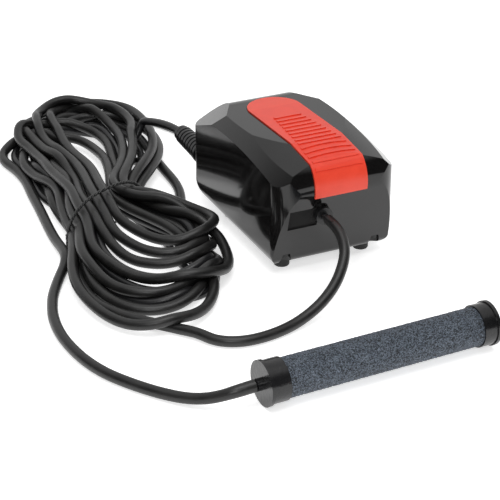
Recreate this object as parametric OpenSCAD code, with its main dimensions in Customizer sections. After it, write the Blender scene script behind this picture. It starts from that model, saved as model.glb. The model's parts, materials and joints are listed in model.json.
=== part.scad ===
// Vibrating-arm air pump with mains lead, air hose, tied hank and air stone.
// Millimetres. The pump stands on z = 0, its outlet and the band's lower end face -Y.
// The casing is one rounded block cut from four outlines, split at the seam; the
// mechanism sits on the lower half: arm on a cross pin at the front, pump head under
// its middle, magnet core at its rear end.

/* [Casing] */
// Half of the casing's width
half_w = 47.5; // [40:0.5:60]
// Half of the casing's length
half_l = 79; // [70:1:95]
// Height of the casing's underside
z_under = 7; // [4:0.5:10]
// Height of the roof
z_roof = 89.5; // [80:0.5:100]
// Wall thickness
wall = 3; // [2:0.5:4]
// Height of the seam between the two halves
z_seam = 36; // [30:0.5:45]

/* [Band] */
// Half of the band's width
band_half = 20.7; // [15:0.1:30]
// Height of the band's lower end on the front
band_low = 62.7; // [55:0.1:70]
// Y of the band's far end on the roof
band_far = 50.3; // [40:0.1:54]
// How far the band stands out of the roof
band_proud = 1; // [0:0.1:2]

/* [Feet] */
// Radius of a foot
foot_r = 5.8; // [4:0.1:8]
// X of the feet
foot_x = 32.4; // [25:0.1:36]
// Y of the front feet
foot_front = -50.5; // [-60:0.1:-40]
// Y of the rear feet
foot_rear = 37; // [30:0.1:50]

/* [Mechanism] */
// X of the arm and of the pump head
arm_x = 3; // [0:0.5:8]
// Y of the arm's pivot
pivot_y = -58; // [-62:0.5:-50]
// Z of the arm's pivot
pivot_z = 51.5; // [45:0.5:60]
// Y of the diaphragm's middle
head_y = -26; // [-32:0.5:-20]
// Radius of the pivot pin
pin_r = 2; // [1.5:0.1:3]

/* [Cords] */
// Radius of the air hose
hose_r = 3.9; // [3:0.1:5]
// Radius of the mains lead
lead_r = 3.2; // [2.5:0.1:4]
// Height of the hank
hank_h = 30; // [20:1:40]

/* [Air stone] */
// Radius of the stone's end flanges
cap_r = 15.5; // [10:0.1:20]
// Radius of the stone
stone_r = 13.4; // [8:0.1:18]
// Length over the flanges
stone_len = 171; // [100:1:220]

/* [Hidden] */
$fn = 0;
$fa = 6;
$fs = 0.5;
eps = 0.01;

// side outline: front slope, two roof rounds, two bottom rounds
front_c = [-57, 67.5];
front_r = z_roof - front_c[1];
toe_c = [-57.4, 15];
toe_r = 8;
rear_top = [48.4, 55.3];
rear_low = [48.4, 40];
rear_r = 30.6;
heel_c = [43.5, 13];
heel_r = 6;
// plan outline
corner_r = 17;
rear_corner = 10.8;
// front outline, shoulder strips and roof crown
belly_r = 9;
strip_a = 43;
strip_r = 480;
strip_y = 5;
strip_z = 79.2;
crown_r = 120;
crown_a = 6.84;
well_r = 4.8;
posts = [[-36, -62], [36, -62], [-22, 58], [27, 58]];
stone_at = [-126.7, -215.4, 15.5];
stone_turn = 1.9;

function lerp(a, b, t) = a + (b - a) * t;
function cr(p0, p1, p2, p3, t) =
  0.5 * ((2 * p1) + (p2 - p0) * t + (2 * p0 - 5 * p1 + 4 * p2 - p3) * t * t
  + (3 * p1 - p0 - 3 * p2 + p3) * t * t * t);
function at(r, i) = r[max(0, min(len(r) - 1, i))];
function smooth(r, k) = [for (i = [0 : len(r) - 2]) for (j = [0 : k - 1])
  cr(at(r, i - 1), at(r, i), at(r, i + 1), at(r, i + 2), j / k), r[len(r) - 1]];
function unit(v) = v / norm(v);
function dir_at(r, i) = unit(at(r, i + 1) - at(r, i - 1));
function ring_pt(p, t, rad, a) =
  let (n = unit(cross(t, [0, 0, 1])), b = cross(n, t))
  p + rad * (cos(a) * n + sin(a) * b);

module tube(route, rad, k, sides) {
  pts = smooth(route, k);
  n = len(pts);
  v = [for (i = [0 : n - 1]) for (s = [0 : sides - 1])
    ring_pt(pts[i], dir_at(pts, i), rad, s * 360 / sides)];
  quads = [for (i = [0 : n - 2]) for (s = [0 : sides - 1])
    [i * sides + s, i * sides + (s + 1) % sides,
    (i + 1) * sides + (s + 1) % sides, (i + 1) * sides + s]];
  cap0 = [[for (s = [sides - 1 : -1 : 0]) s]];
  cap1 = [[for (s = [0 : sides - 1]) (n - 1) * sides + s]];
  polyhedron(points = v, faces = concat(quads, cap0, cap1));
}

// routes: centre lines through chosen round points
r_hose_out = [[-12.7, -78.2, 47.5], [-12.4, -84, 47.4], [-11.6, -90, 46.4],
  [-11.2, -97, 44.5], [-11.5, -103, 42], [-12.8, -109, 39], [-15, -114.5, 35.6],
  [-18.2, -119, 32], [-22.3, -123.3, 28], [-27.6, -127.4, 22.9],
  [-34.4, -130.9, 17.6], [-43.2, -133.9, 12], [-53, -136.5, 7.8],
  [-65, -139.6, 4.7], [-78, -143.2, 3.9], [-92, -145.6, 3.9], [-105, -145.2, 3.9],
  [-115.8, -141.4, 3.9], [-124, -134.4, 3.9], [-130, -124, 4.5]];
r_hose_stone = [[-176, 12, 7], [-180, 4, 5.2], [-187.5, -7, 3.9], [-195, -20, 3.9],
  [-201.4, -32.4, 3.9], [-206, -44, 3.9], [-210.4, -58, 3.9], [-213.4, -74.5, 3.9],
  [-214.4, -91.6, 3.9], [-213.2, -110, 3.9], [-210, -127.8, 3.9],
  [-204.2, -145, 3.9], [-196, -160.4, 3.9], [-186.8, -174.4, 3.9],
  [-178, -186.2, 4.3], [-169, -196.6, 5.3], [-160, -205, 7.6], [-152, -210.8, 10.8],
  [-144, -214.6, 13.9], [-136.5, -215.8, 15.4]];
r_mains = [[-37, 95, 36], [-37, 103, 36], [-37, 111, 36], [-37, 120, 36], [-37.8, 130, 35.6], [-39.6, 142, 34.6], [-42, 154, 32.8],
  [-44.8, 166, 30], [-48, 178, 26.6], [-52, 190, 23]];
r_tail = [[-44, 236, 6], [-34, 232.5, 4.6], [-25, 226, 3.2], [-19, 217, 3.2],
  [-14, 206.5, 3.2], [-10, 195, 3.2], [-8, 182, 3.2], [-7.6, 168, 3.2],
  [-6, 154, 3.2], [-1, 141.5, 4.2], [8, 131, 7.4], [19, 124.5, 12.4],
  [30, 122, 16.6], [40, 121.4, 18.4]];
r_wire_a = [[-37, 52, 37.4], [-36, 46, 40], [-31, 41.5, 45], [-24, 38, 51],
  [-17, 35.5, 56], [-13.4, 34.6, 58.5]];
r_wire_b = [[-37, 52, 34.6], [-35.4, 46, 34.2], [-30, 41, 36], [-23, 37.5, 39.5],
  [-17, 35.2, 43], [-13.4, 34.4, 45.5]];

// hank outline, corner points of one closed loop
hank_pts = [[-88.9, 76], [-80, 58], [-77, 40], [-75, 2], [-75, -36], [-81, -62],
  [-94, -80], [-105, -92], [-118, -115], [-131, -128], [-147, -135], [-163, -135],
  [-178, -128], [-190, -112], [-196, -88], [-196, -58], [-188, -14], [-177, 9],
  [-164, 40.6], [-175, 58], [-178, 82], [-172, 100], [-167, 130], [-166, 168],
  [-160, 190], [-150, 222], [-134, 248], [-112, 266], [-90, 272], [-70, 268],
  [-50, 252], [-36, 226], [-28, 200], [-33, 178], [-43, 160], [-54, 130],
  [-53, 96], [-62, 82]];

// unit normal of the line touching two circles, s = 1 on its upper side
function touch(c0, r0, c1, r1, s) =
  let (d = c1 - c0, a = atan2(d[1], d[0]) + s * acos((r0 - r1) / norm(d)))
  0.999 * [cos(a), sin(a)];
slope_n = touch(front_c, front_r, toe_c, toe_r, -1);
roof_n = touch(front_c, front_r, rear_top, rear_r, 1);
heel_n = touch(heel_c, heel_r, rear_low, rear_r, -1);
// height of the roof's middle line at y
function roof_at(y) =
  let (p = front_c + front_r * roof_n) p[1] - (y - p[0]) * roof_n[0] / roof_n[1];

module yz(o) {
  rotate([90, 0, 90])
    linear_extrude(height = 140, center = true)
      union() {
        translate(front_c)
          circle(r = front_r - o);
        translate(toe_c)
          circle(r = toe_r - o);
        translate(heel_c)
          circle(r = heel_r - o);
        translate(rear_top)
          circle(r = rear_r - o);
        translate(rear_low)
          circle(r = rear_r - o);
        polygon([front_c, front_c + (front_r - o) * slope_n,
          toe_c + (toe_r - o) * slope_n, toe_c, [toe_c[0], z_under + o],
          [heel_c[0], z_under + o], heel_c, heel_c + (heel_r - o) * heel_n,
          rear_low + (rear_r - o) * heel_n, rear_low, [half_l - o, rear_low[1]],
          [half_l - o, rear_top[1]], rear_top, rear_top + (rear_r - o) * roof_n,
          front_c + (front_r - o) * roof_n]);
      }
}

module xz(o) {
  x = half_w - belly_r;
  z = z_under + belly_r;
  rotate([90, 0, 0])
    linear_extrude(height = 220, center = true)
      union() {
        for (s = [-1, 1])
          translate([s * x, z])
            circle(r = belly_r - o);
        polygon([[-x, z_under + o], [x, z_under + o], [x, z], [half_w - o, z],
          [half_w - o, 110], [-half_w + o, 110], [-half_w + o, z], [-x, z]]);
      }
}

module plan(o) {
  x = half_w - corner_r;
  xr = half_w - rear_corner;
  y = -half_l + corner_r;
  yr = half_l - rear_corner;
  union() {
    for (s = [-1, 1])
      translate([s * x, y])
        circle(r = corner_r - o);
    for (s = [-1, 1])
      translate([s * xr, yr])
        circle(r = rear_corner - o);
    polygon([[-x, -half_l + o], [x, -half_l + o], [x, y], [half_w - o, y],
      [half_w - o, yr], [xr, yr], [xr, half_l - o], [-xr, half_l - o], [-xr, yr],
      [-half_w + o, yr], [-half_w + o, y], [-x, y]]);
  }
}

// long shallow arch that bounds one shoulder
module strip(o) {
  translate([half_w, strip_y, strip_z])
    rotate([0, strip_a, 0])
      rotate([90, 0, 90])
        linear_extrude(height = 300, center = true)
          intersection() {
            translate([0, -strip_r])
              circle(r = strip_r - o);
            translate([-110, -190])
              square([220, 210]);
          }
}

// crown that rounds the front of the roof
module crown(o) {
  translate([0, -45, z_roof + 0.5 - crown_r / cos(crown_a)])
    rotate([crown_a - 90, 0, 0])
      cylinder(h = 400, r = crown_r - o, center = true);
}

module corner_cut(o) {
  rotate([0, 0, 148.2])
    rotate([0, 37.6, 0])
      translate([-90, -90, 98.8 - o])
        cube([200, 180, 60]);
}

// the casing's block, drawn in by o
module block(o) {
  difference() {
    intersection() {
      yz(o);
      xz(o);
      translate([0, 0, -10])
        linear_extrude(height = 130)
          plan(o);
      strip(o);
      mirror([1, 0, 0])
        strip(o);
      crown(o);
    }
    corner_cut(o);
    mirror([1, 0, 0])
      corner_cut(o);
  }
}

module slab(z0, z1) {
  translate([-90, -110, z0])
    cube([180, 220, z1 - z0]);
}

module band_window(g) {
  translate([0, 0, band_low - g])
    linear_extrude(height = 40)
      union() {
        translate([-band_half - g, -95])
          square([2 * band_half + 2 * g, 95 + band_far - band_half]);
        translate([0, band_far - band_half])
          circle(r = band_half + g);
      }
}

module rod_y(x, y0, y1, z, r) {
  translate([x, y1, z])
    rotate([90, 0, 0])
      cylinder(h = y1 - y0, r = r);
}

module rod_x(x0, x1, y, z, r) {
  translate([x0, y, z])
    rotate([0, 90, 0])
      cylinder(h = x1 - x0, r = r);
}

module rod_z(x, y, z0, z1, r) {
  translate([x, y, z0])
    cylinder(h = z1 - z0, r = r);
}

module box(x0, x1, y0, y1, z0, z1) {
  translate([x0, y0, z0])
    cube([x1 - x0, y1 - y0, z1 - z0]);
}

module lower_housing() {
  color([0.05, 0.05, 0.06])
    difference() {
      union() {
        intersection() {
          difference() {
            block(0);
            block(wall);
          }
          slab(0, z_seam);
        }
        intersection() {
          union() {
            for (p = posts)
              rod_z(p[0], p[1], 4, z_seam, 8);
            for (x = [-foot_x, foot_x], y = [foot_front, foot_rear])
              rod_z(x, y, 4, 12, 8);
            box(arm_x - 13, arm_x + 13, -70, -48, 4, 16);
            box(-44, -29.5, 50.5, 63, 4, 32.8);
            box(-13, 19, 43.5, 53.5, 5, 22);
            box(-5.9, 11.9, 43.5, 53.5, 5, 31.5);
            box(-5, 11, 20, 27, 5, 31.5);
            box(-36, -12, -5, 29, 6, 13);
            rod_y(-37, 68, 90, 36, 9.5);
          }
          block(1.2);
          slab(0, z_seam);
        }
        for (x = [-15, 21], y = [-42, -10])
          rod_z(x, y, 9, 12, 3.4);
      }
      // screw wells and screw holes
      for (p = posts) {
        rod_z(p[0], p[1], -1, 16, well_r);
        rod_z(p[0], p[1], 10, 40, 1.95);
      }
      for (x = [-foot_x, foot_x], y = [foot_front, foot_rear])
        rod_z(x, y, -1, 9.5, foot_r + 0.05);
      // filter bay
      box(-35.2, -12.8, -4.2, 28.2, 6, 8.6);
      box(-33.05, -14.95, -2.05, 26.05, 8, 12);
      for (i = [0 : 3])
        box(-32, -16, -0.5 + 6.6 * i, 4.7 + 6.6 * i, 10, 14);
      // lead, gland
      rod_y(-37, 60, 95, 36, 5.55);
      rod_y(-37, 74.4, 76.4, 36, 8.05);
      rod_y(-37, 40, 76, 36, 3.25);
      // screw holes in the pads
      for (x = [-42.4, -31.6])
        rod_z(x, 58, 22, 34, 1.5);
      for (x = [-10, 16])
        rod_z(x, 48.5, 14, 24, 1.5);
      for (x = [arm_x - 5, arm_x + 5])
        rod_z(x, -53, 11, 18, 1.5);
    }
}

module upper_housing() {
  color([0.05, 0.05, 0.06])
    difference() {
      union() {
        intersection() {
          difference() {
            block(0);
            block(wall);
          }
          slab(z_seam, 100);
        }
        intersection() {
          union() {
            for (p = posts)
              rod_z(p[0], p[1], z_seam, 95, 5);
            rod_y(-12.7, -90, -69, 47.5, 9.5);
            rod_y(-37, 68, 90, 36, 9.5);
          }
          block(1.5);
          slab(z_seam, 100);
        }
      }
      intersection() {
        band_window(0.4);
        difference() {
          block(-4);
          block(1.4);
        }
      }
      for (p = posts)
        rod_z(p[0], p[1], 30, 54, 1.75);
      rod_y(-12.7, -90, -60, 47.5, 6.55);
      rod_y(-37, 60, 95, 36, 5.55);
      rod_y(-37, 74.4, 76.4, 36, 8.05);
      rod_y(-37, 40, 76, 36, 3.25);
      // shallow recess beside the outlet
      translate([-38.5, -71.9, 38.2])
        rotate([15.03, 0, 0])
          box(0, 23, -8, 1.2, 0, 16.5);
    }
}

// cross ribs, widening from the roof to the front
module rib_slabs() {
  for (i = [0 : 9]) {
    w = 11 + 0.75 * i;
    box(-w, w, 6.8 - 6.5 * i, 9.2 - 6.5 * i, 80, 100);
  }
  for (i = [0 : 3])
    translate([0, front_c[0], front_c[1]])
      rotate([16.4 * i, 0, 0])
        translate([-18.4, -1.2, 10])
          cube([36.8, 2.4, 20]);
}

module grip_band() {
  color([0.95, 0.29, 0.18])
    union() {
      intersection() {
        band_window(0);
        difference() {
          block(-band_proud);
          block(1.4);
        }
      }
      intersection() {
        rib_slabs();
        difference() {
          block(-band_proud - 0.7);
          block(0);
        }
      }
    }
}

module foot(x, y) {
  color([0.07, 0.07, 0.07])
    translate([x, y, 0])
      rotate_extrude()
        polygon([[0, 0], [4.6, 0], [5.4, 0.4], [foot_r, 1.2], [foot_r, 9.5], [0, 9.5]]);
}

module foot_front_left() {
  foot(-foot_x, foot_front);
}

module foot_front_right() {
  foot(foot_x, foot_front);
}

module foot_rear_left() {
  foot(-foot_x, foot_rear);
}

module foot_rear_right() {
  foot(foot_x, foot_rear);
}

module housing_screws() {
  color([0.7, 0.7, 0.72])
    for (p = posts)
      difference() {
        union() {
          rod_z(p[0], p[1], 13.4, 16, 3.4);
          rod_z(p[0], p[1], 16 - eps, 52, 1.7);
        }
        box(p[0] - 2.2, p[0] + 2.2, p[1] - 0.4, p[1] + 0.4, 13, 14.6);
        box(p[0] - 0.4, p[0] + 0.4, p[1] - 2.2, p[1] + 2.2, 13, 14.6);
      }
}

module outlet_nozzle() {
  color([0.06, 0.06, 0.07])
    difference() {
      union() {
        rod_y(-12.7, -79.2, -69, 47.5, 6.5);
        rod_y(-12.7, -69, -67, 47.5, 8);
        rod_y(-12.7, -92, -79, 47.5, 2.2);
        for (y = [-91, -87, -83])
          translate([-12.7, y + 2.2, 47.5])
            rotate([90, 0, 0])
              cylinder(h = 2.6, r1 = 2.8, r2 = 2.2);
        rod_y(-12.7, -67 - eps, -65.6, 47.5, 2.4);
      }
      rod_y(-12.7, -95, -50, 47.5, 1.5);
    }
}

module pipe_arc(rad, ro, ri) {
  rotate_extrude(angle = 90)
    translate([rad, 0])
      difference() {
        circle(r = ro);
        circle(r = ri);
      }
}

module outlet_elbow() {
  color([0.75, 0.76, 0.72])
    translate([-12.7, 0, 0])
      union() {
        difference() {
          rod_y(0, -67, -65.5, 47.5, 4);
          rod_y(0, -68, -65, 47.5, 2.4);
        }
        // turn from the nozzle down
        translate([0, -65.5, 39.5])
          rotate([90, 0, 90])
            pipe_arc(8, 4, 2.4);
        difference() {
          rod_z(0, -57.5, 32, 39.5, 4);
          rod_z(0, -57.5, 31, 40, 2.4);
        }
        // turn toward the head
        translate([0, -49.5, 32])
          rotate([90, 0, 90])
            rotate([0, 0, 180])
              pipe_arc(8, 4, 2.4);
        difference() {
          rod_y(0, -49.5, -46, 24, 4);
          rod_y(0, -50, -45, 24, 2.4);
        }
      }
}

module pump_head() {
  color([0.16, 0.17, 0.2])
    difference() {
      union() {
        box(-19, 25, -46, -6, 12, 30);
        rod_y(-12.7, -49.4, -45, 24, 2.4);
      }
      box(-16.5, -1, -43, -9, 15, 31);
      box(1.5, 22, -43, -9, 15, 31);
      rod_y(-12.7, -52, -40, 24, 1.5);
      rod_x(20, 27, -26, 22, 3);
      for (x = [-17.2, 23.2], y = [-44.2, -7.8])
        rod_z(x, y, 11, 31, 1.2);
    }
}

module head_gasket() {
  color([0.1, 0.1, 0.1])
    difference() {
      box(-19, 25, -46, -6, 30, 31);
      box(-16.5, -1, -43, -9, 29, 32);
      box(1.5, 22, -43, -9, 29, 32);
      for (x = [-17.2, 23.2], y = [-44.2, -7.8])
        rod_z(x, y, 29, 32, 1.2);
    }
}

module valve_plate() {
  color([0.8, 0.8, 0.76])
    difference() {
      box(-19, 25, -46, -6, 31, 34);
      for (x = [-6, 12], y = [-28, -24])
        rod_z(x, y, 30, 35, 1.7);
      for (x = [-17.2, 23.2], y = [-44.2, -7.8])
        rod_z(x, y, 30, 35, 1.2);
    }
}

module flap(x, z) {
  color([0.12, 0.12, 0.12])
    union() {
      rod_z(x, -26, z, z + 0.8, 4.2);
      box(x - 2, x + 2, -32, -26, z, z + 0.8);
    }
}

module inlet_flap() {
  flap(12, 34);
}

module outlet_flap() {
  flap(-6, 30.2);
}

module head_ring() {
  color([0.16, 0.17, 0.2])
    difference() {
      box(-19, 25, -46, -6, 34, 42);
      rod_z(arm_x, head_y, 33, 43, 15.5);
      for (x = [-17.2, 23.2], y = [-44.2, -7.8])
        rod_z(x, y, 33, 43, 1.2);
    }
}

module diaphragm() {
  color([0.1, 0.1, 0.1])
    translate([arm_x, head_y, 0])
      rotate_extrude()
        polygon([[1.6, 42], [8.4, 42], [9.6, 42.5], [11, 43.4], [12.2, 43.6],
          [13.4, 43.2], [14.6, 42.2], [15.2, 42], [19.2, 42], [19.2, 44],
          [15.4, 44], [14.4, 44.2], [13.2, 44.9], [12.2, 45.1], [11, 44.9],
          [9.6, 44.2], [8.4, 44], [1.6, 44]]);
}

module clamp_plate() {
  color([0.75, 0.76, 0.78])
    difference() {
      box(-19, 25, -46, -6, 42, 46.5);
      rod_z(arm_x, head_y, 41, 44, 19.25);
      rod_z(arm_x, head_y, 41, 47, 15.6);
      for (x = [-17.2, 23.2], y = [-44.2, -7.8])
        rod_z(x, y, 41, 47, 1.2);
    }
}

module head_screws() {
  color([0.7, 0.7, 0.72])
    for (x = [-17.2, 23.2], y = [-44.2, -7.8])
      difference() {
        union() {
          rod_z(x, y, 13, 46.5 + eps, 1.15);
          rod_z(x, y, 46.5, 48.2, 1.75);
        }
        box(x - 1.2, x + 1.2, y - 0.3, y + 0.3, 47.4, 49);
      }
}

module diaphragm_plates() {
  color([0.72, 0.73, 0.75])
    difference() {
      union() {
        rod_z(arm_x, head_y, 40.6, 42, 8);
        rod_z(arm_x, head_y, 44, 45.5, 8);
        rod_z(arm_x, head_y, 45.5 - eps, 50, 3.6);
      }
      rod_z(arm_x, head_y, 40, 51, 1.55);
    }
}

module diaphragm_screw() {
  color([0.7, 0.7, 0.72])
    difference() {
      union() {
        rod_z(arm_x, head_y, 40.6, 53 + eps, 1.5);
        rod_z(arm_x, head_y, 53, 55.4, 3);
      }
      box(arm_x - 2, arm_x + 2, head_y - 0.4, head_y + 0.4, 54.2, 56);
    }
}

module swing_arm() {
  color([0.72, 0.73, 0.75])
    difference() {
      union() {
        rod_x(arm_x - 8, arm_x + 8, pivot_y, pivot_z, 4.5);
        box(arm_x - 6, arm_x + 6, pivot_y, pivot_y + 8, 50, 53);
        box(arm_x - 4, arm_x + 4, pivot_y + 2, 10, 50, 53);
        box(arm_x - 8, arm_x + 8, 8, 10, 40, 63);
      }
      rod_x(arm_x - 9, arm_x + 9, pivot_y, pivot_z, pin_r + 0.05);
      rod_z(arm_x, head_y, 49, 54, 1.55);
    }
}

module arm_magnets() {
  color([0.35, 0.35, 0.37])
    union() {
      box(arm_x - 7, arm_x + 7, 10, 14, 41, 51);
      box(arm_x - 7, arm_x + 7, 10, 14, 52, 62);
    }
}

module pivot_pin() {
  color([0.8, 0.8, 0.82])
    rod_x(arm_x - 12.5, arm_x + 12.5, pivot_y, pivot_z, pin_r);
}

module pivot_bracket() {
  color([0.72, 0.73, 0.75])
    difference() {
      union() {
        box(arm_x - 12, arm_x + 12, -61.5, -49, 16, 18.5);
        for (s = [-1, 1])
          translate([arm_x + s * 10 - 1.5, 0, 0])
            union() {
              box(0, 3, -61.5, -50.5, 16, pivot_z);
              rod_x(0, 3, pivot_y + 2, pivot_z, 5.5);
            }
      }
      rod_x(arm_x - 15, arm_x + 15, pivot_y, pivot_z, pin_r);
      for (x = [arm_x - 5, arm_x + 5])
        rod_z(x, -53, 15, 20, 1.55);
    }
}

module bracket_screws() {
  color([0.7, 0.7, 0.72])
    for (x = [arm_x - 5, arm_x + 5])
      union() {
        rod_z(x, -53, 11.5, 18.5 + eps, 1.45);
        rod_z(x, -53, 18.5, 20.5, 2.5);
      }
}

module magnet_core() {
  color([0.4, 0.4, 0.42])
    union() {
      box(arm_x - 9, arm_x + 9, 17.5, 57.5, 31.5, 37.5);
      box(arm_x - 9, arm_x + 9, 17.5, 57.5, 65.5, 71.5);
      box(arm_x - 9, arm_x + 9, 17.5, 57.5, 45.5, 57.5);
      box(arm_x - 9, arm_x + 9, 49.5, 57.5, 31.5, 71.5);
    }
}

module coil_bobbin() {
  color([0.85, 0.83, 0.75])
    difference() {
      union() {
        box(arm_x - 10.2, arm_x + 10.2, 19, 48, 44.3, 58.7);
        box(arm_x - 16, arm_x + 16, 19, 20.5, 38, 65);
        box(arm_x - 16, arm_x + 16, 46.5, 48, 38, 65);
      }
      box(arm_x - 9.05, arm_x + 9.05, 18, 49, 45.45, 57.55);
    }
}

module coil_winding() {
  color([0.72, 0.36, 0.16])
    difference() {
      box(arm_x - 15, arm_x + 15, 20.5, 46.5, 39, 64);
      box(arm_x - 10.2, arm_x + 10.2, 20, 47, 44.3, 58.7);
    }
}

module core_strap() {
  color([0.72, 0.73, 0.75])
    difference() {
      union() {
        box(arm_x - 10.5, arm_x + 10.5, 50, 53, 22, 73);
        box(arm_x - 16, arm_x + 16, 45, 53, 22, 23.5);
      }
      box(arm_x - 9, arm_x + 9, 40, 60, 20, 71.5);
      for (x = [-10, 16])
        rod_z(x, 48.5, 20, 25, 1.55);
    }
}

module strap_screws() {
  color([0.7, 0.7, 0.72])
    for (x = [-10, 16])
      union() {
        rod_z(x, 48.5, 15, 23.5 + eps, 1.45);
        rod_z(x, 48.5, 23.5, 25.4, 2.6);
      }
}

module coil_leads() {
  color([0.15, 0.25, 0.6])
    union() {
      tube(r_wire_a, 0.9, 2, 8);
      tube(r_wire_b, 0.9, 2, 8);
    }
}

module lead_clamp() {
  color([0.2, 0.2, 0.22])
    difference() {
      box(-44, -29.8, 53, 62, 36.6, 42);
      rod_y(-37, 50, 65, 36, 3.22);
      for (x = [-42.4, -31.6])
        rod_z(x, 58, 35, 43, 1.5);
    }
}

module clamp_screws() {
  color([0.7, 0.7, 0.72])
    for (x = [-42.4, -31.6])
      union() {
        rod_z(x, 58, 23, 42 + eps, 1.4);
        rod_z(x, 58, 42, 43.8, 2);
      }
}

module filter_pad() {
  color([0.9, 0.9, 0.88])
    box(-33, -15, -2, 26, 8.6, 12);
}

module filter_cover() {
  color([0.06, 0.06, 0.07])
    difference() {
      box(-35, -13, -4, 28, 7, 8.6);
      for (i = [0 : 4])
        box(-31, -17, 0 + 5.2 * i, 2.4 + 5.2 * i, 6, 9);
    }
}

module strain_relief() {
  color([0.06, 0.06, 0.06])
    translate([-37, 0, 36])
      rotate([-90, 0, 0])
        difference() {
          union() {
            translate([0, 0, 73.5])
              cylinder(h = 8, r = 5.5);
            translate([0, 0, 74.5])
              cylinder(h = 1.8, r = 8);
            translate([0, 0, 79])
              cylinder(h = 3.2, r = 9);
            translate([0, 0, 79.2])
              cylinder(h = 40.8, r1 = 6.8, r2 = 5.2);
            for (i = [0 : 6])
              translate([0, 0, 84.4 + 5 * i])
                cylinder(h = 3, r = 8.5 - 0.18 * i);
            translate([0, 0, 119.4])
              cylinder(h = 3, r = 6.6);
          }
          translate([0, 0, 70])
            cylinder(h = 60, r = lead_r + 0.05);
        }
}

module lead_inner() {
  color([0.08, 0.08, 0.08])
    rod_y(-37, 50, 95, 36, lead_r);
}

module mains_lead() {
  color([0.08, 0.08, 0.08])
    tube(r_mains, lead_r, 3, 12);
}

module lead_tail() {
  color([0.08, 0.08, 0.08])
    tube(r_tail, lead_r, 3, 12);
}

module plug_body() {
  color([0.06, 0.06, 0.06])
    translate([0, 121.4, 18.5])
      rotate([0, 90, 0])
        difference() {
          union() {
            translate([0, 0, 36])
              cylinder(h = 22, r1 = 4.6, r2 = 7);
            for (i = [0 : 3])
              translate([0, 0, 39 + 4.6 * i])
                cylinder(h = 2.6, r = 6.4 + 0.5 * i);
            translate([0, 0, 57])
              cylinder(h = 22, r1 = 9, r2 = 15);
            translate([0, 0, 78])
              cylinder(h = 6, r = 18.5);
          }
          for (s = [-1, 1])
            translate([0, 9.5 * s, 74])
              cylinder(h = 11, r = 1.9);
        }
}

module plug_pins() {
  color([0.78, 0.78, 0.8])
    translate([0, 121.4, 18.5])
      rotate([0, 90, 0])
        for (s = [-1, 1])
          translate([0, 9.5 * s, 0])
            union() {
              translate([0, 0, 74])
                cylinder(h = 11, r = 1.9);
              translate([0, 0, 84])
                cylinder(h = 18, r = 2.4);
              translate([0, 0, 102 - eps])
                cylinder(h = 1.5, r1 = 2.4, r2 = 1.4);
            }
}

module at_tie() {
  translate([-126.4, 58.3, 0])
    rotate([90, 0, 25.7])
      children();
}

// half round over the bundle's waist, flat on the ground; t outside the strands
function tie_arch(t) = concat([[-42 - t, 1.5 - t]], [for (a = [170 : -20 : 10])
  [(42 + t) * (abs(cos(a)) ^ 0.8) * sign(cos(a)),
  1.5 + (hank_h + t) * sin(a) ^ 0.8]], [[42 + t, 1.5 - t]]);

module hank() {
  color([0.1, 0.1, 0.1])
    difference() {
      translate([0, 0, 1.5])
        linear_extrude(height = hank_h)
          polygon(hank_pts);
      at_tie()
        linear_extrude(height = 3.4, center = true)
          difference() {
            translate([-60, -5])
              square([120, hank_h + 15]);
            polygon(tie_arch(0));
          }
    }
}

module hank_tie() {
  color([0.12, 0.12, 0.12])
    at_tie()
      linear_extrude(height = 3, center = true)
        difference() {
          polygon(tie_arch(1.5));
          polygon(tie_arch(0));
        }
}

module hose_out() {
  color([0.1, 0.1, 0.1])
    tube(r_hose_out, hose_r, 3, 12);
}

module hose_stone() {
  color([0.1, 0.1, 0.1])
    tube(r_hose_stone, hose_r, 3, 12);
}

module on_stone() {
  translate(stone_at)
    rotate([0, 0, stone_turn])
      rotate([0, 90, 0])
        children();
}

module stone_inlet_cap() {
  color([0.05, 0.05, 0.05])
    on_stone()
      difference() {
        union() {
          cylinder(h = 2.4, r = cap_r);
          translate([0, 0, 2.3])
            cylinder(h = 12, r = 14.6);
          translate([0, 0, -4])
            cylinder(h = 4.1, r = 4.2);
          translate([0, 0, -14])
            cylinder(h = 12, r = 2.2);
          for (i = [0 : 2])
            translate([0, 0, -13.6 + 3.2 * i])
              cylinder(h = 2.4, r1 = 2.2, r2 = 2.8);
        }
        translate([0, 0, 4.4])
          cylinder(h = 20, r = stone_r);
        translate([0, 0, 3])
          cylinder(h = 5, r = 2);
        translate([0, 0, -20])
          cylinder(h = 40, r = 1.4);
      }
}

module air_stone() {
  color([0.4, 0.43, 0.5])
    on_stone()
      difference() {
        translate([0, 0, 4.4])
          cylinder(h = stone_len - 8.8, r = stone_r);
        translate([0, 0, 0])
          cylinder(h = stone_len, r = 6.5);
      }
}

module stone_end_cap() {
  color([0.05, 0.05, 0.05])
    on_stone()
      difference() {
        union() {
          translate([0, 0, stone_len - 2.4])
            cylinder(h = 2.4, r = cap_r);
          translate([0, 0, stone_len - 12])
            cylinder(h = 9.7, r = 14.6);
        }
        translate([0, 0, stone_len - 20])
          cylinder(h = 15.6, r = stone_r);
        translate([0, 0, stone_len - 10])
          cylinder(h = 8.6, r = 2);
      }
}

module stone_rod() {
  color([0.75, 0.6, 0.3])
    on_stone()
      difference() {
        translate([0, 0, 3])
          cylinder(h = stone_len - 4.4, r = 2);
        translate([0, 0, 2])
          cylinder(h = stone_len - 12, r = 1.4);
      }
}

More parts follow.
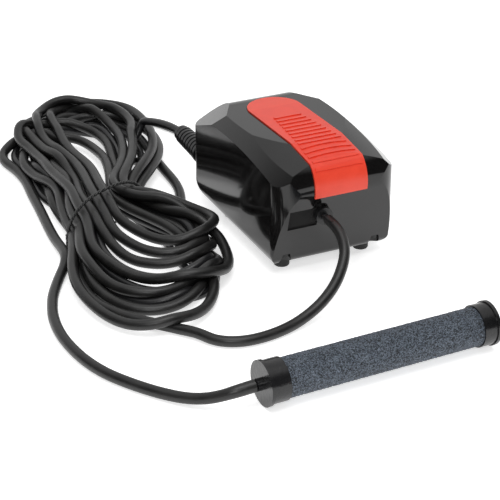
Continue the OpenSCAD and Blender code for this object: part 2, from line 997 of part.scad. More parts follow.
lower_housing();
upper_housing();
grip_band();
foot_front_left();
foot_front_right();
foot_rear_left();
foot_rear_right();
housing_screws();
outlet_nozzle();
outlet_elbow();
pump_head();
head_gasket();
valve_plate();
inlet_flap();
outlet_flap();
head_ring();
diaphragm();
clamp_plate();
head_screws();
diaphragm_plates();
diaphragm_screw();
swing_arm();
arm_magnets();
pivot_pin();
pivot_bracket();
bracket_screws();
magnet_core();
coil_bobbin();
coil_winding();
core_strap();
strap_screws();
coil_leads();
lead_clamp();
clamp_screws();
filter_pad();
filter_cover();
strain_relief();
lead_inner();
mains_lead();
lead_tail();
plug_body();
plug_pins();
hank();
hank_tie();
hose_out();
hose_stone();
stone_inlet_cap();
air_stone();
stone_end_cap();
stone_rod();
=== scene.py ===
import math
import json
import bpy
import numpy as np
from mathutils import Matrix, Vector, noise


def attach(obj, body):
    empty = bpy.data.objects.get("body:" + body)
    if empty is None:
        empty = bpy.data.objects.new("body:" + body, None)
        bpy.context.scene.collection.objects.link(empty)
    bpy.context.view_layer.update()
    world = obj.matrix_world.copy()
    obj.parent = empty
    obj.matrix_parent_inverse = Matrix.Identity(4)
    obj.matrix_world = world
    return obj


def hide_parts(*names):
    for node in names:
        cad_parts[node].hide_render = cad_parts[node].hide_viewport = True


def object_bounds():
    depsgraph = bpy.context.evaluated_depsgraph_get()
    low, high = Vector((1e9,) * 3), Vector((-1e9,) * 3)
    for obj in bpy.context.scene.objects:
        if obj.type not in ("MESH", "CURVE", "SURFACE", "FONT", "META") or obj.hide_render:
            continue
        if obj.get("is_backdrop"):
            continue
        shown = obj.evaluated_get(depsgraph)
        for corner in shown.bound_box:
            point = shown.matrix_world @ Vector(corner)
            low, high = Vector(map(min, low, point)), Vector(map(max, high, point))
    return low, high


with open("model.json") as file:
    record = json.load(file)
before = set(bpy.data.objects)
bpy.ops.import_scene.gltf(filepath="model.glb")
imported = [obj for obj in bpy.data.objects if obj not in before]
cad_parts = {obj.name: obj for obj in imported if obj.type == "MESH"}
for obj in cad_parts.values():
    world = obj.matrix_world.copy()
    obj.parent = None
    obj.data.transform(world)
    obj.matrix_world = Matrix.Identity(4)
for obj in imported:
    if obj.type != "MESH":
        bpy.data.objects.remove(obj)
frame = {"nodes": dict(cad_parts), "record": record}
cad_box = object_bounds()
NODE = frame["nodes"]
MM = 0.001
HOSE_R, LEAD_R = 3.9, 3.2  # mm


def show(name, data):
    """A new object in the scene."""
    o = bpy.data.objects.new(name, data)
    bpy.context.scene.collection.objects.link(o)
    return o


# ---------------------------------------------------------------- camera
AIM = Vector((-0.04389, -0.02077, 0.0))
DISTANCE = 1.29918
AZIMUTH, ELEVATION = -25, 27.6


def towards(azimuth, elevation):
    """Unit vector from the object to a camera at these angles, in degrees."""
    a, e = math.radians(azimuth), math.radians(elevation)
    return Vector((math.sin(a) * math.cos(e), -math.cos(a) * math.cos(e), math.sin(e)))


cam_data = bpy.data.cameras.new("camera")
cam_data.lens = 126.4
cam_data.sensor_width = 36.0
cam_data.clip_start = 0.05
cam_data.clip_end = 20.0
cam = show("camera", cam_data)
cam.location = AIM + towards(AZIMUTH, ELEVATION) * DISTANCE
cam.rotation_euler = towards(AZIMUTH, ELEVATION).to_track_quat("Z", "Y").to_euler()
bpy.context.scene.camera = cam

# ---------------------------------------------------------------- cords: routes, in mm
# the same centre lines as in part.scad
R_OUT = [[-12.7, -84, 47.4], [-11.6, -90, 46.4], [-11.2, -97, 44.5], [-11.5, -103, 42],
         [-12.8, -109, 39], [-15, -114.5, 35.6], [-18.2, -119, 32], [-22.3, -123.3, 28],
         [-27.6, -127.4, 22.9], [-34.4, -130.9, 17.6], [-43.2, -133.9, 12], [-53, -136.5, 7.8],
         [-65, -139.6, 4.7], [-78, -143.2, 3.9], [-92, -145.6, 3.9], [-105, -145.2, 3.9],
         [-115.8, -141.4, 3.9], [-124, -134.4, 3.9], [-130, -124, 4.5]]
R_STONE = [[-176, 12, 7], [-180, 4, 5.2], [-187.5, -7, 3.9], [-195, -20, 3.9],
           [-201.4, -32.4, 3.9], [-206, -44, 3.9], [-210.4, -58, 3.9], [-213.4, -74.5, 3.9],
           [-214.4, -91.6, 3.9], [-213.2, -110, 3.9], [-210, -127.8, 3.9], [-204.2, -145, 3.9],
           [-196, -160.4, 3.9], [-186.8, -174.4, 3.9], [-178, -186.2, 4.3], [-169, -196.6, 5.3],
           [-160, -205, 7.6], [-152, -210.8, 10.8], [-144, -214.6, 13.9], [-131, -215.6, 15.5]]
R_MAINS = [[-37, 95, 36], [-37, 103, 36], [-37, 111, 36], [-37, 120, 36], [-37.8, 130, 35.6],
           [-39.6, 142, 34.6], [-42, 154, 32.8], [-44.8, 166, 30], [-48, 178, 26.6]]
R_TAIL = [[-44, 236, 6], [-34, 232.5, 4.6], [-25, 226, 3.2], [-19, 217, 3.2], [-14, 206.5, 3.2],
          [-10, 195, 3.2], [-8, 182, 3.2], [-7.6, 168, 3.2], [-6, 154, 3.2], [-1, 141.5, 4.2],
          [8, 131, 7.4], [19, 124.5, 12.4], [30, 122, 16.6], [40, 121.4, 18.4]]

# The hank: every half turn leaves the tie, swings round one end and comes back to it.
# A row has the reach along the hank, the sideways place and height of the far point,
# the sideways places at 30, 60 and 88 % of the reach going out and at 88, 60 and 30 %
# coming back, then the sideways place and height at which it passes the tie. Most of
# these numbers were resampled by a scratch program from traced strands, and the rest
# were changed by hand: they are not worked out from the hank's sizes.
TIE = (-126.4, 58.3)
ALONG = (0.9011, 0.4337)
HOSE_TURNS = [
    (165, 115, 4, -3, 24, 66, 136, 135, 109, 82, 5),
    (-151, -69, 6, 32, -2, -34, -105, -106, -83, -37, 14),
    (159, 76, 4, -1, 23, 56, 90, 84, 57, 8, 20),
    (-130, -51, 4, 11, 4, -16, -85, -88, -65, -29, 14),
    (156, 107, 4, 1, 28, 69, 138, 146, 111, 34, 16),
    (-113, -14, 8, 28, 23, 12, -33, -42, -38, -20, 23),
    (184, 100, 8, 20, 44, 73, 128, 122, 78, 12, 25),
    (-103, 0, 10, 28, 28, 20, -20, -31, -30, -8, 27),
    (179, 106, 12, 28, 50, 80, 138, 139, 88, 18, 26),
    (-105, 14, 12, 36, 34, 27, 0, -14, -17, 0, 28),
    (178, 140, 12, 38, 62, 98, 158, 150, 112, 29, 22),
    (-127, -20, 9, 31, 22, 6, -48, -61, -55, -29, 22),
    (170, 78, 9, 8, 31, 55, 106, 104, 65, 21, 11),
    (-126, -40, 6, 22, 12, -8, -70, -80, -66, -35, 18),
]
HOSE_LAST = [(6, 48, 17), (30, 88, 14), (60, 120, 12), (82, 142, 10), (90, 158, 8), (80, 171, 7),
             (62, 168, 6), (47, 152, 5), (34, 130, 4), (18, 106, 4), (-3, 76, 4), (-21, 48, 4),
             (-37, 24, 4), (-51, 1, 4)]
LEAD_FIRST = [(131, 92, 20), (117, 72, 16), (98, 50, 14), (60, 24, 14), (26, 0, 15)]
LEAD_TURNS = [
    (-116, -20, 8, 24, 15, 0, -46, -58, -46, -12, 19),
    (155, 88, 4, 24, 40, 63, 118, 108, 65, 17, 12),
    (-121, -29, 5, 14, 6, -10, -57, -67, -53, -22, 15),
    (156, 79, 4, 5, 26, 51, 114, 116, 72, 23, 5),
    (-126, -41, 4, 12, 1, -19, -70, -77, -61, -23, 6),
    (167, 100, 4, 0, 20, 50, 132, 134, 92, 33, 5),
    (-126, -33, 4, 26, 13, -8, -63, -70, -54, -17, 6),
]
LEAD_LAST = [(14, 60, 4), (34, 108, 4), (64, 148, 4), (98, 168, 4), (130, 168, 4)]


def at_tie(u, v, z):
    """A place u across the tie and v along the hank from it, in mm."""
    return (TIE[0] + u * ALONG[0] - v * ALONG[1], TIE[1] + u * ALONG[1] + v * ALONG[0], z)


def turns(rows, u0, z0):
    """The points of all half turns, from where the first one passes the tie."""
    out = []
    for (reach, mid, zm, a3, a6, a9, b9, b6, b3, u1, z1) in rows:
        for k, u in ((0.1, u0 + 0.3 * (a3 - u0)), (0.3, a3), (0.6, a6), (0.88, a9)):
            out.append(at_tie(u, k * reach, z0 + (zm - z0) * min(1, k * 1.15)))
        out.append(at_tie(mid, reach, zm))
        for k, u in ((0.88, b9), (0.6, b6), (0.3, b3), (0.1, u1 + 0.3 * (b3 - u1))):
            out.append(at_tie(u, k * reach, z1 + (zm - z1) * min(1, k * 1.15)))
        out.append(at_tie(u1, 0, z1))
        u0, z0 = u1, z1
    return out


hose_pts = R_OUT + [at_tie(-97, -87, 4), at_tie(-71, -44, 5), at_tie(-34, 0, 7)] \
    + turns(HOSE_TURNS, -34, 7) + [at_tie(*p) for p in HOSE_LAST] + R_STONE
lead_pts = R_MAINS + [at_tie(*p) for p in LEAD_FIRST] + turns(LEAD_TURNS, 26, 15) \
    + [at_tie(*p) for p in LEAD_LAST] + R_TAIL[1:]


def path(pts, step):
    """Even points along one smooth curve through pts."""
    p = np.array(pts, float)
    q = np.vstack([2 * p[0] - p[1], p, 2 * p[-1] - p[-2]])
    out = []
    t = np.linspace(0, 1, 12, endpoint=False)[:, None]
    for i in range(1, len(q) - 2):
        a, b, c, d = q[i - 1], q[i], q[i + 1], q[i + 2]
        # tangents weighted by the lengths on both sides, for uneven steps
        lb = np.linalg.norm(c - b)
        m1 = (c - a) * lb / (np.linalg.norm(b - a) + lb)
        m2 = (d - b) * lb / (np.linalg.norm(d - c) + lb)
        h = (2 * t**3 - 3 * t**2 + 1) * b + (t**3 - 2 * t**2 + t) * m1 \
            + (-2 * t**3 + 3 * t**2) * c + (t**3 - t**2) * m2
        out.append(h)
    out = np.vstack(out + [p[-1:]])
    s = np.concatenate([[0], np.cumsum(np.linalg.norm(np.diff(out, axis=0), axis=1))])
    u = np.linspace(0, s[-1], int(round(s[-1] / step)) + 1)
    return np.stack([np.interp(u, s, out[:, k]) for k in range(3)], 1)


STEP = 5.0  # mm between points
STEPS = 460
BENDS = 5
TIE_HALF, TIE_HIGH, TIE_FLOOR, TIE_POWER = 42.0, 30.0, 1.5, 2.2  # the tie's inside
NEAR = 15.0  # strands closer than this are watched
SAME = 26  # mm along a strand that count as the same place


def close_pairs(X, strand, idx):
    """Pairs of points near each other that aren't neighbours on one strand."""
    I, J = [], []
    for s in range(0, len(X), 400):
        A = X[s:s + 400]
        D = ((A[:, None, :] - X[None, :, :]) ** 2).sum(2)
        a, b = np.where(D < NEAR ** 2)
        a = a + s
        m = (b > a) & ((strand[a] != strand[b]) | (np.abs(idx[a] - idx[b]) * STEP > SAME))
        I.append(a[m])
        J.append(b[m])
    return np.concatenate(I), np.concatenate(J)


def push_apart(X, I, J, rad, w, f):
    dv = X[J] - X[I]
    dd = np.linalg.norm(dv, axis=1) + 1e-9
    pen = rad[I] + rad[J] - dd
    m = pen > 0
    i, j = I[m], J[m]
    n = dv[m] / dd[m][:, None]
    p = pen[m] * (0.3 + 0.1 * f)
    tot = np.maximum(w[i] + w[j], 1e-9)
    np.add.at(X, i, -n * (p * w[i] / tot)[:, None])
    np.add.at(X, j, n * (p * w[j] / tot)[:, None])


def keep_lengths(X, seg, L0, w):
    for par in (0, 1):
        s = seg[(seg % 2) == par]
        l0 = L0[(seg % 2) == par]
        dv = X[s + 1] - X[s]
        dd = np.linalg.norm(dv, axis=1) + 1e-9
        e = (dd - l0) / dd
        tot = np.maximum(w[s] + w[s + 1], 1e-9)
        X[s] += dv * (e * 0.9 * w[s] / tot)[:, None]
        X[s + 1] -= dv * (e * 0.9 * w[s + 1] / tot)[:, None]


def open_bends(X, spans, w):
    """Moves the ends of each span apart where its chord is shorter than it may be."""
    for fr, k, ch in spans:
        dv = X[fr + 2 * k] - X[fr]
        dd = np.linalg.norm(dv, axis=1) + 1e-9
        m = dd < ch
        a = fr[m]
        n = dv[m] / dd[m][:, None]
        p = (ch[m] - dd[m]) * 0.15
        np.add.at(X, a, -n * (p * w[a])[:, None])
        np.add.at(X, a + 2 * k, n * (p * w[a + 2 * k])[:, None])
        mid = a + k
        c = 0.5 * (X[a] + X[a + 2 * k]) - X[mid]
        X[mid] += c * (0.05 * w[mid])[:, None]


def hold_in_tie(X, rad, w, outside):
    C, TU = np.array(TIE), np.array(ALONG)
    TV = np.array([-ALONG[1], ALONG[0]])
    q = X[:, :2] - C
    u, v = q @ TU, q @ TV
    zz = X[:, 2] - TIE_FLOOR
    g = (np.abs(u) / (TIE_HALF - rad)) ** TIE_POWER \
        + (np.maximum(zz, 0) / (TIE_HIGH - rad)) ** TIE_POWER
    mm = (np.abs(v) < 7) & (w > 0) & (np.abs(u) < TIE_HALF + 10) & ~outside & (g > 1)
    if mm.any():
        s = g[mm] ** (-1 / TIE_POWER)
        un = u[mm] * (1 - (1 - s) * 0.5)
        X[mm, :2] = C + un[:, None] * TU + v[mm][:, None] * TV
        X[mm, 2] = TIE_FLOOR + zz[mm] * (1 - (1 - s) * 0.5)


def settle(paths, radii, rmin, fixed):
    """Pushes the strands apart, opens tight bends and draws the strands into the tie,
    near the routes above. Some short overlaps and bends tighter than rmin remain, and
    the strands' lengths may change."""
    X = np.vstack(paths)
    N = len(X)
    strand = np.concatenate([[k] * len(p) for k, p in enumerate(paths)])
    idx = np.concatenate([np.arange(len(p)) for p in paths])
    rad = np.concatenate([[r] * len(p) for r, p in zip(radii, paths)])
    rm = np.concatenate([[r] * len(p) for r, p in zip(rmin, paths)])
    w = np.where(np.concatenate(fixed), 0.0, 1.0)
    T = X.copy()
    seg = np.where(strand[:-1] == strand[1:])[0]
    L0 = np.linalg.norm(X[seg + 1] - X[seg], axis=1)
    spans = []
    for k in (2, 4, 6):
        far = np.array([i for i in range(N - 2 * k) if strand[i] == strand[i + 2 * k]])
        spans.append((far, k, 2 * rm[far] * np.sin(np.minimum(k * STEP / rm[far], 1.3))))
    inner = np.array([i for i in range(2, N - 2) if strand[i - 2] == strand[i + 2]])
    outside = np.abs((T[:, :2] - np.array(TIE)) @ np.array(ALONG)) > TIE_HALF + 1
    for it in range(STEPS):
        f = it / STEPS
        X += (w * (0.04 * (1 - f) ** 2 + 0.012))[:, None] * (T - X)
        X[:, 2] -= w * 0.08 * (1 - f)
        for _ in range(BENDS):
            d = X[inner - 2] - 4 * X[inner - 1] + 6 * X[inner] - 4 * X[inner + 1] + X[inner + 2]
            X[inner] -= (w[inner] * 0.1)[:, None] * d
        L0 += 0.4 * (np.linalg.norm(X[seg + 1] - X[seg], axis=1) - L0)
        if it % 10 == 0:
            I, J = close_pairs(X, strand, idx)
        for _ in range(2):
            push_apart(X, I, J, rad, w, f)
            keep_lengths(X, seg, L0, w)
        open_bends(X, spans, w)
        hold_in_tie(X, rad, w, outside)
        X[:, 2] = np.where(w > 0, np.maximum(X[:, 2], rad + 0.05), X[:, 2])
    return np.split(X, np.cumsum([len(p) for p in paths])[:-1])


def ends_held(way, first, last):
    """Marks the points of a cord's first and last stretch, which stay on their route."""
    h = np.zeros(len(way), bool)
    h[:len(path(first, STEP))] = True
    h[-len(path(last, STEP)):] = True
    return h


P, Q = path(hose_pts, STEP), path(lead_pts, STEP)
held = [ends_held(P, R_OUT, R_STONE), ends_held(Q, R_MAINS, R_TAIL[1:])]
P, Q = settle([P, Q], [HOSE_R, LEAD_R], [23.5, 19.5], held)


def tube(name, pts, radii, kind, roundness):
    """A round cord or wire through pts, with its radius at each point, all in mm."""
    cu = bpy.data.curves.new(name, "CURVE")
    cu.dimensions = "3D"
    cu.bevel_depth = 1.0  # so each point's radius is the real one
    cu.bevel_resolution = roundness
    cu.use_fill_caps = True
    sp = cu.splines.new(kind)
    sp.points.add(len(pts) - 1)
    for point, q, r in zip(sp.points, pts, radii):
        point.co = (q[0] * MM, q[1] * MM, q[2] * MM, 1)
        point.radius = r
    if kind == "NURBS":
        cu.resolution_u = 2
        sp.use_endpoint_u = True
        sp.order_u = 4
    o = show(name, cu)
    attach(o, "housing")
    return o


# the hose widens over the stone's barb
widening = [1.0] * (len(P) - 4) + [1.06] + [1.1] * 3
hose = tube("air_hose", P, [HOSE_R * MM * k for k in widening], "NURBS", 4)
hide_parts("hose_out", "hose_stone", "hank")
lead = tube("mains_cable", Q, [LEAD_R * MM * 1.0] * len(Q), "NURBS", 4)
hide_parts("mains_lead", "lead_tail")


# ---------------------------------------------------------------- materials
def node(t, kind, **inputs):
    n = t.nodes.new(kind)
    for k, v in inputs.items():
        n.inputs[k.replace("_", " ")].default_value = v
    return n


def feed(t, socket, value):
    """Links an output to a socket, or sets the socket to a plain value."""
    if isinstance(value, bpy.types.NodeSocket):
        t.links.new(value, socket)
    else:
        socket.default_value = value


def ranged(t, src, lo, hi, a=0.0, b=1.0, kind="LINEAR"):
    """src from lo to hi, mapped to a to b and kept inside it."""
    n = t.nodes.new("ShaderNodeMapRange")
    n.interpolation_type = kind
    feed(t, n.inputs["Value"], src)
    for k, v in (("From Min", lo), ("From Max", hi), ("To Min", a), ("To Max", b)):
        n.inputs[k].default_value = v
    return n.outputs["Result"]


def blend(t, factor, one, two):
    """Mixes two colours by factor."""
    n = t.nodes.new("ShaderNodeMix")
    n.data_type = "RGBA"
    for socket, value in ((n.inputs[0], factor), (n.inputs[6], one), (n.inputs[7], two)):
        feed(t, socket, value)
    return n.outputs[2]


def calc(t, operation, *values):
    n = t.nodes.new("ShaderNodeMath")
    n.operation = operation
    for socket, value in zip(n.inputs, values):
        feed(t, socket, value)
    return n.outputs[0]


def vector(t, operation, *values):
    n = t.nodes.new("ShaderNodeVectorMath")
    n.operation = operation
    for socket, value in zip(n.inputs, values):
        feed(t, socket, value)
    return n.outputs["Value" if operation == "DOT_PRODUCT" else "Vector"]


def surface(name, color, second, rough, scale, bump=0.1, depth=0.0002, spread=0.08, metal=0.0,
            wear=0.0, kind="Noise", stretch=(1, 1, 1)):
    """Procedural surface: two close colours mixed by noise, roughness that varies, bump,
    and a slightly paler colour where an edge would be rubbed."""
    m = bpy.data.materials.new(name)
    m.use_nodes = True
    t = m.node_tree
    p = t.nodes["Principled BSDF"]
    p.inputs["Metallic"].default_value = metal
    place = node(t, "ShaderNodeMapping", Scale=stretch)
    t.links.new(t.nodes.new("ShaderNodeTexCoord").outputs["Object"], place.inputs["Vector"])
    big = node(t, "ShaderNodeTexNoise", Scale=scale * 0.12, Detail=3.0)
    small = node(t, "ShaderNodeTex" + kind, Scale=scale)
    for texture in (big, small):
        t.links.new(place.outputs[0], texture.inputs["Vector"])
    cloud = big.outputs["Fac"]
    out = blend(t, ranged(t, cloud, 0.35, 0.68), (*color, 1), (*second, 1))
    if wear:
        edge = t.nodes.new("ShaderNodeNewGeometry").outputs["Pointiness"]
        paler = (*[min(1, c * 2.2 + 0.03) for c in color], 1)
        out = blend(t, ranged(t, edge, 0.52, 0.66, 0.0, wear), out, paler)
    t.links.new(out, p.inputs["Base Color"])
    low, high = max(0.02, rough - spread), min(1, rough + spread)
    t.links.new(ranged(t, cloud, 0.0, 1.0, low, high), p.inputs["Roughness"])
    bp = node(t, "ShaderNodeBump", Strength=bump, Distance=depth)
    t.links.new(small.outputs["Fac" if kind == "Noise" else "Distance"], bp.inputs["Height"])
    t.links.new(bp.outputs["Normal"], p.inputs["Normal"])
    return m


def shade_recess(m):
    """The shallow recess beside the outlet is rough inside, so it stays dark."""
    t = m.node_tree
    rough = t.nodes["Principled BSDF"].inputs["Roughness"]
    corner, tilt = (-0.0385, -0.0719, 0.0382), math.radians(15.03)  # as in part.scad
    c, s = math.cos(tilt), math.sin(tilt)
    here = t.nodes.new("ShaderNodeTexCoord").outputs["Object"]
    here = vector(t, "SUBTRACT", here, corner)
    inside = None
    for axis, mid, half in (((1, 0, 0), 0.0115, 0.0116), ((0, c, s), 0.0026, 0.0021),
                            ((0, -s, c), 0.00825, 0.0084)):
        within = calc(t, "COMPARE", vector(t, "DOT_PRODUCT", here, axis), mid, half)
        inside = within if inside is None else calc(t, "MULTIPLY", inside, within)
    t.links.new(calc(t, "MAXIMUM", rough.links[0].from_socket, inside), rough)


def shade_grains(m):
    """Every grain has its own tone of blue-grey, and the colour is also darkened towards each grain's
    edge, a painted shade in the pores between them.
    """
    t = m.node_tree
    color = t.nodes["Principled BSDF"].inputs["Base Color"]
    cells = node(t, "ShaderNodeTexVoronoi", Scale=1500.0)
    t.links.new(t.nodes.new("ShaderNodeTexCoord").outputs["Object"], cells.inputs["Vector"])
    split = t.nodes.new("ShaderNodeSeparateColor")
    t.links.new(cells.outputs["Color"], split.inputs[0])
    # random tone per grain, times a painted shade that darkens the colour towards the cell edges
    shade = calc(t, "MULTIPLY", ranged(t, split.outputs[0], 0.1, 0.9, 0.25, 3.0),
                 ranged(t, cells.outputs["Distance"], 0.35, 0.8, 1.0, 0.35))
    n = t.nodes.new("ShaderNodeVectorMath")
    n.operation = "SCALE"
    t.links.new(color.links[0].from_socket, n.inputs[0])
    t.links.new(shade, n.inputs["Scale"])
    t.links.new(n.outputs[0], color)


def grey(value):
    return (value, value, value)


# slot, two colours, roughness, scale of the grain per metre, and the rest by name
FINISHES = [
    ("gloss_black", (0.0045, 0.0042, 0.0042), (0.007, 0.0066, 0.0066), 0.09, 420,
     dict(bump=0.02, depth=0.0001, spread=0.03, wear=0.03)),
    ("band_red", (0.82, 0.044, 0.018), (0.88, 0.054, 0.024), 0.38, 900,
     dict(bump=0.05, depth=0.0001, spread=0.04, wear=0.25)),
    ("foot_rubber", grey(0.007), grey(0.012), 0.6, 900, dict(bump=0.25, wear=0.2)),
    ("screw_steel", (0.55, 0.55, 0.57), grey(0.68), 0.32, 1200, dict(metal=1.0, bump=0.08, wear=0.3)),
    ("black_plastic", (0.007, 0.007, 0.0075), (0.012, 0.012, 0.0125), 0.32, 1100,
     dict(bump=0.15, wear=0.2)),
    ("elbow_rubber", grey(0.028), grey(0.04), 0.65, 800, dict(bump=0.2)),
    ("head_plastic", (0.045, 0.05, 0.065), (0.06, 0.066, 0.083), 0.5, 1500, dict(bump=0.25, wear=0.2)),
    ("seal_rubber", (0.028, 0.028, 0.03), (0.04, 0.04, 0.042), 0.62, 900, dict(bump=0.15)),
    ("valve_plastic", (0.7, 0.68, 0.6), (0.78, 0.76, 0.69), 0.45, 900, dict(bump=0.1)),
    ("plate_aluminium", (0.62, 0.62, 0.64), (0.74, 0.74, 0.76), 0.36, 1400,
     dict(metal=1.0, bump=0.12, stretch=(1, 0.06, 1))),
    ("magnet", (0.09, 0.09, 0.1), (0.13, 0.13, 0.14), 0.45, 1600, dict(bump=0.3, metal=0.3)),
    ("core_steel", (0.24, 0.24, 0.26), (0.33, 0.33, 0.35), 0.45, 1800,
     dict(metal=0.9, bump=0.5, depth=0.0003, stretch=(1, 0.02, 0.02))),
    ("copper", (0.55, 0.22, 0.08), (0.68, 0.31, 0.13), 0.3, 2600,
     dict(metal=0.9, bump=0.6, depth=0.0004, stretch=(0.03, 1, 0.03))),
    ("wire_pvc", (0.02, 0.06, 0.36), (0.04, 0.1, 0.44), 0.4, 700, dict(bump=0.05)),
    ("felt", (0.72, 0.71, 0.66), (0.84, 0.83, 0.78), 0.95, 2200, dict(bump=0.8, depth=0.0006)),
    ("lead_pvc", (0.008, 0.008, 0.009), (0.013, 0.013, 0.014), 0.34, 600, dict(bump=0.1, spread=0.06)),
    ("hose_rubber", grey(0.009), (0.016, 0.0155, 0.015), 0.4, 700,
     dict(bump=0.16, depth=0.0003, spread=0.1)),
    ("tie_wire", grey(0.016), grey(0.026), 0.42, 900, dict(bump=0.2)),
    ("pin_nickel", (0.6, 0.59, 0.56), (0.7, 0.69, 0.66), 0.22, 1500, dict(metal=1.0, bump=0.05)),
    ("stone_grain", (0.05, 0.062, 0.08), (0.07, 0.084, 0.104), 0.7, 1500,
     dict(bump=0.9, depth=0.0006, kind="Voronoi", spread=0.1)),
    ("cap_black", (0.006, 0.006, 0.0065), (0.011, 0.011, 0.012), 0.2, 380,
     dict(bump=0.3, depth=0.0005, spread=0.08, wear=0.2)),
    ("screw_black", grey(0.01), grey(0.02), 0.5, 1200, dict(metal=0.2, bump=0.1)),
    ("rod_brass", (0.55, 0.4, 0.13), (0.66, 0.5, 0.19), 0.28, 900, dict(metal=1.0, bump=0.06)),
]
FINISH = {}
for slot, color, second, rough, scale, more in FINISHES:
    FINISH[slot] = surface(slot, color, second, rough, scale, **more)
shade_recess(FINISH["gloss_black"])
shade_grains(FINISH["stone_grain"])
OWN_FINISH = {"housing_screws": "screw_black", "stone_inlet_cap": "cap_black",
              "stone_end_cap": "cap_black"}
for sub in frame["record"]["subparts"]:
    slots = NODE[sub["node"]].data.materials
    slots.clear()
    slots.append(FINISH[OWN_FINISH.get(sub["node"], sub["material_slot"])])
hose.data.materials.append(FINISH["hose_rubber"])
lead.data.materials.append(FINISH["lead_pvc"])


# ---------------------------------------------------------------- tie
WIRE_R = 0.72
ARCH_HALF, ARCH_HIGH, ARCH_FOOT, ARCH_LOW = 42.6, 30.6, 2.0, 1.15


def tie_ring(phase, steps=150, below=12, twists=20, lay=0.62):
    """One of two twisted wires round the bundle: an arch over it and flat under it."""
    base = []
    for k in range(steps + 1):
        a = math.pi * k / steps
        u = -ARCH_HALF * math.copysign(abs(math.cos(a)) ** 0.8, math.cos(a))
        base.append((u, ARCH_FOOT + ARCH_HIGH * math.sin(a) ** 0.8))
    for k in range(1, below):
        base.append((ARCH_HALF - 2 * ARCH_HALF * k / below, ARCH_LOW))
    m = len(base)
    out = []
    for k in range(m + 1):
        u, z = base[k % m]
        un, zn = base[(k + 1) % m]
        up, zp = base[(k - 1) % m]
        du, dz = un - up, zn - zp
        ln = math.hypot(du, dz) + 1e-9
        a = phase + k * 2 * math.pi * twists / m
        c, s = lay * math.cos(a), lay * math.sin(a)
        out.append(at_tie(u + c * (-dz / ln), s, z + c * (du / ln)))
    return out


def tie_end(phase, steps=60, lay=0.75):
    """A twisted end, bent down at the left side of the bundle."""
    out = []
    for k in range(steps):
        t = k / (steps - 1)
        a = phase + t * 14
        u = -43.6 - 2.6 * math.sin(t * 2.2) - 3.0 * t
        out.append(at_tie(u + lay * math.cos(a), -1.0 - 9.0 * t,
                          12.0 - 9.5 * t + lay * math.sin(a)))
    return out


def tie_wire(name, pts):
    pts = [(x, y, max(z, WIRE_R + 0.05)) for x, y, z in pts]
    o = tube(name, pts, [WIRE_R * MM] * len(pts), "POLY", 3)
    o.data.materials.append(FINISH["tie_wire"])
    return o


for k in range(2):
    ring = tie_wire("tie_strand_%d" % k, tie_ring(math.pi * k))
    if k == 0:
        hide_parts("hank_tie")
for k in range(2):
    tie_wire("tie_end_%d" % k, tie_end(math.pi * k))


# ---------------------------------------------------------------- air stone
def grains(name, node_name, rings=300, sides=170):
    """The stone as a mass of fused grains: a fine grid sunk in between two sizes of cell."""
    co = np.array([v.co for v in NODE[node_name].data.vertices])
    c = co.mean(0)
    ax = np.linalg.svd(co - c, full_matrices=False)[2][0]
    t = (co - c) @ ax
    r = np.linalg.norm(co - c - t[:, None] * ax, axis=1).max()
    mid = (t.max() + t.min()) / 2
    half = (t.max() - t.min()) / 2
    e1 = np.cross(ax, [0, 0, 1.0])
    e1 /= np.linalg.norm(e1)
    e2 = np.cross(ax, e1)
    verts, faces = [], []
    for i in range(rings + 1):
        s = mid + half * (2 * i / rings - 1)
        for j in range(sides):
            a = 2 * math.pi * j / sides
            n = math.cos(a) * e1 + math.sin(a) * e2
            p = c + ax * s + n * r
            d1 = noise.voronoi(Vector(p * 620))[0][0]
            d2 = noise.voronoi(Vector(p * 1150 + 7))[0][0]
            h = -0.00055 * min(1, d1) - 0.0002 * min(1, d2)
            verts.append(tuple(c + ax * s + n * (r + 0.00022 + h)))
    for i in range(rings):
        for j in range(sides):
            a, b = i * sides + j, i * sides + (j + 1) % sides
            faces.append((a, b, b + sides, a + sides))
    faces.append(tuple(range(sides - 1, -1, -1)))
    faces.append(tuple(rings * sides + j for j in range(sides)))
    me = bpy.data.meshes.new(name)
    me.from_pydata(verts, [], faces)
    me.polygons.foreach_set("use_smooth", [True] * len(me.polygons))
    me.materials.append(FINISH["stone_grain"])
    o = show(name, me)
    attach(o, "housing")
    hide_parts(node_name)
    return o


stone = grains("stone_grains", "air_stone")


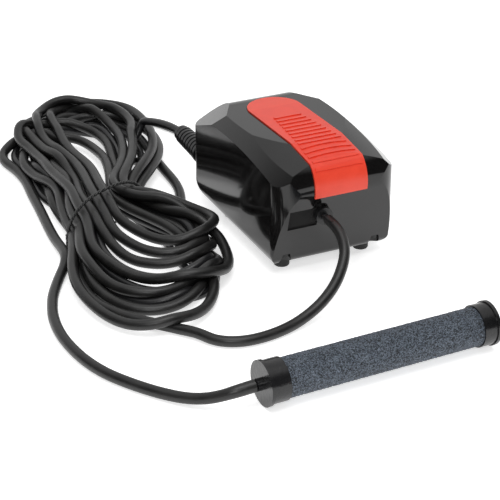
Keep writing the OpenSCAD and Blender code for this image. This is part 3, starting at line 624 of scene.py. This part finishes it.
# ---------------------------------------------------------------- stage and light
def paper(name, size, z):
    """A white ground, partly lit by itself, so shadows on it stay weak."""
    s = size / 2
    me = bpy.data.meshes.new(name)
    me.from_pydata([(-s, -s, z), (s, -s, z), (s, s, z), (-s, s, z)], [], [(0, 1, 2, 3)])
    m = bpy.data.materials.new("floor_paper")
    m.use_nodes = True
    for k, v in (("Base Color", (0.9, 0.9, 0.9, 1)), ("Roughness", 0.8),
                 ("Specular IOR Level", 0.1), ("Emission Color", (1, 1, 1, 1)),
                 ("Emission Strength", 0.6)):
        m.node_tree.nodes["Principled BSDF"].inputs[k].default_value = v
    me.materials.append(m)
    return show(name, me)


paper("floor", 12.0, -0.0002)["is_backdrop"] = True
bpy.context.scene.view_settings.view_transform = "Standard"

# white behind and overhead, dark in front, so the casing's upright faces stay black
world = bpy.data.worlds.new("studio")
bpy.context.scene.world = world
world.use_nodes = True
wt = world.node_tree
sky = wt.nodes["Background"]
ray = wt.nodes.new("ShaderNodeTexCoord").outputs["Generated"]
height = wt.nodes.new("ShaderNodeSeparateXYZ")
wt.links.new(ray, height.inputs[0])
over = ranged(wt, height.outputs["Z"], 0.60, 0.95, kind="SMOOTHSTEP")
away = vector(wt, "DOT_PRODUCT", ray, (0.4226, 0.9063, 0))
behind = ranged(wt, away, 0.05, 0.65, kind="SMOOTHSTEP")
lit = ranged(wt, calc(wt, "MAXIMUM", over, behind), 0.0, 1.0, 0.03, 0.8, "SMOOTHSTEP")
seen = wt.nodes.new("ShaderNodeLightPath").outputs["Is Camera Ray"]
sky.inputs[0].default_value = (1, 1, 1, 1)
wt.links.new(calc(wt, "MAXIMUM", lit, seen), sky.inputs[1])


def area(name, loc, aim, size, power, size_y=None):
    d = bpy.data.lights.new(name, "AREA")
    d.energy = power
    d.size = size
    if size_y:
        d.shape = "RECTANGLE"
        d.size_y = size_y
    o = show(name, d)
    o.location = loc
    o.rotation_euler = (Vector(loc) - Vector(aim)).to_track_quat("Z", "Y").to_euler()


area("key", (-0.2, -0.5, 1.9), (-0.05, 0, 0), 1.2, 14)
area("window_a", (-0.95, -1.35, 1.0), (0, -0.06, 0.05), 0.16, 4, 0.5)
area("window_b", (-0.72, -1.5, 1.0), (0, -0.06, 0.05), 0.16, 4, 0.5)

bpy.context.view_layer.update()
bpy.context.evaluated_depsgraph_get().update()
visual_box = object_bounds()
boxes = {"cad": cad_box, "visual": visual_box}
boxes = {k: [list(map(float, v)) for v in box] for k, box in boxes.items()}
